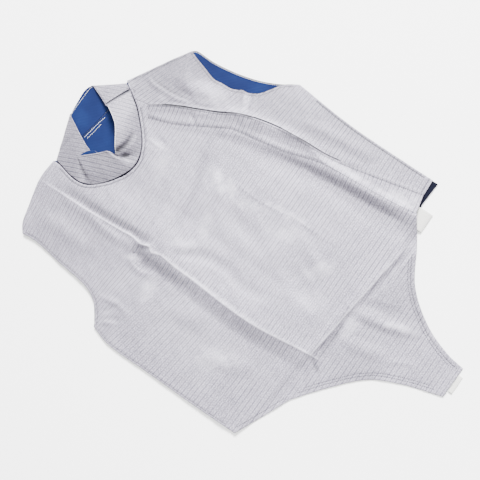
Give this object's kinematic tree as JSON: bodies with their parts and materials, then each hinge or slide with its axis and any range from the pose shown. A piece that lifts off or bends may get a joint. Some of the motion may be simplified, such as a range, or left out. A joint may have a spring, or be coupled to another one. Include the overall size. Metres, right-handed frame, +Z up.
{
  "type": "fencing lame",
  "caption": "Sleeveless fencer's jacket of conductive silver cloth laid flat face up, with a stand collar, a side-front zip under a flap, a groin flap and blue lining",
  "frame": {"origin": "The middle of the garment's bounding box on the surface that it lies on.", "axes": "+X points to the wearer's left, +Y from the groin flap to the collar, +Z up from the surface, out of the front."},
  "size_m": [0.507, 0.758, 0.0313],
  "materials": {
    "silver_cloth": "conductive metallic weave with fine darker pinstripes, soft sheen",
    "blue_lining": "plain polyester lining",
    "white_elastic": "woven elastic webbing",
    "zip_tape": "woven tape",
    "dark_metal": "dark lacquer"
  },
  "bodies": {
    "root": {"back_panel": "silver_cloth", "back_lining": "blue_lining", "front_main": "silver_cloth", "front_left": "silver_cloth", "zip_flap": "silver_cloth", "zip": "zip_tape", "zip_slider": "dark_metal", "collar_band": "silver_cloth", "collar_lining": "blue_lining", "hip_elastic": "white_elastic", "groin_elastic": "white_elastic"}
  },
  "joints": []
}
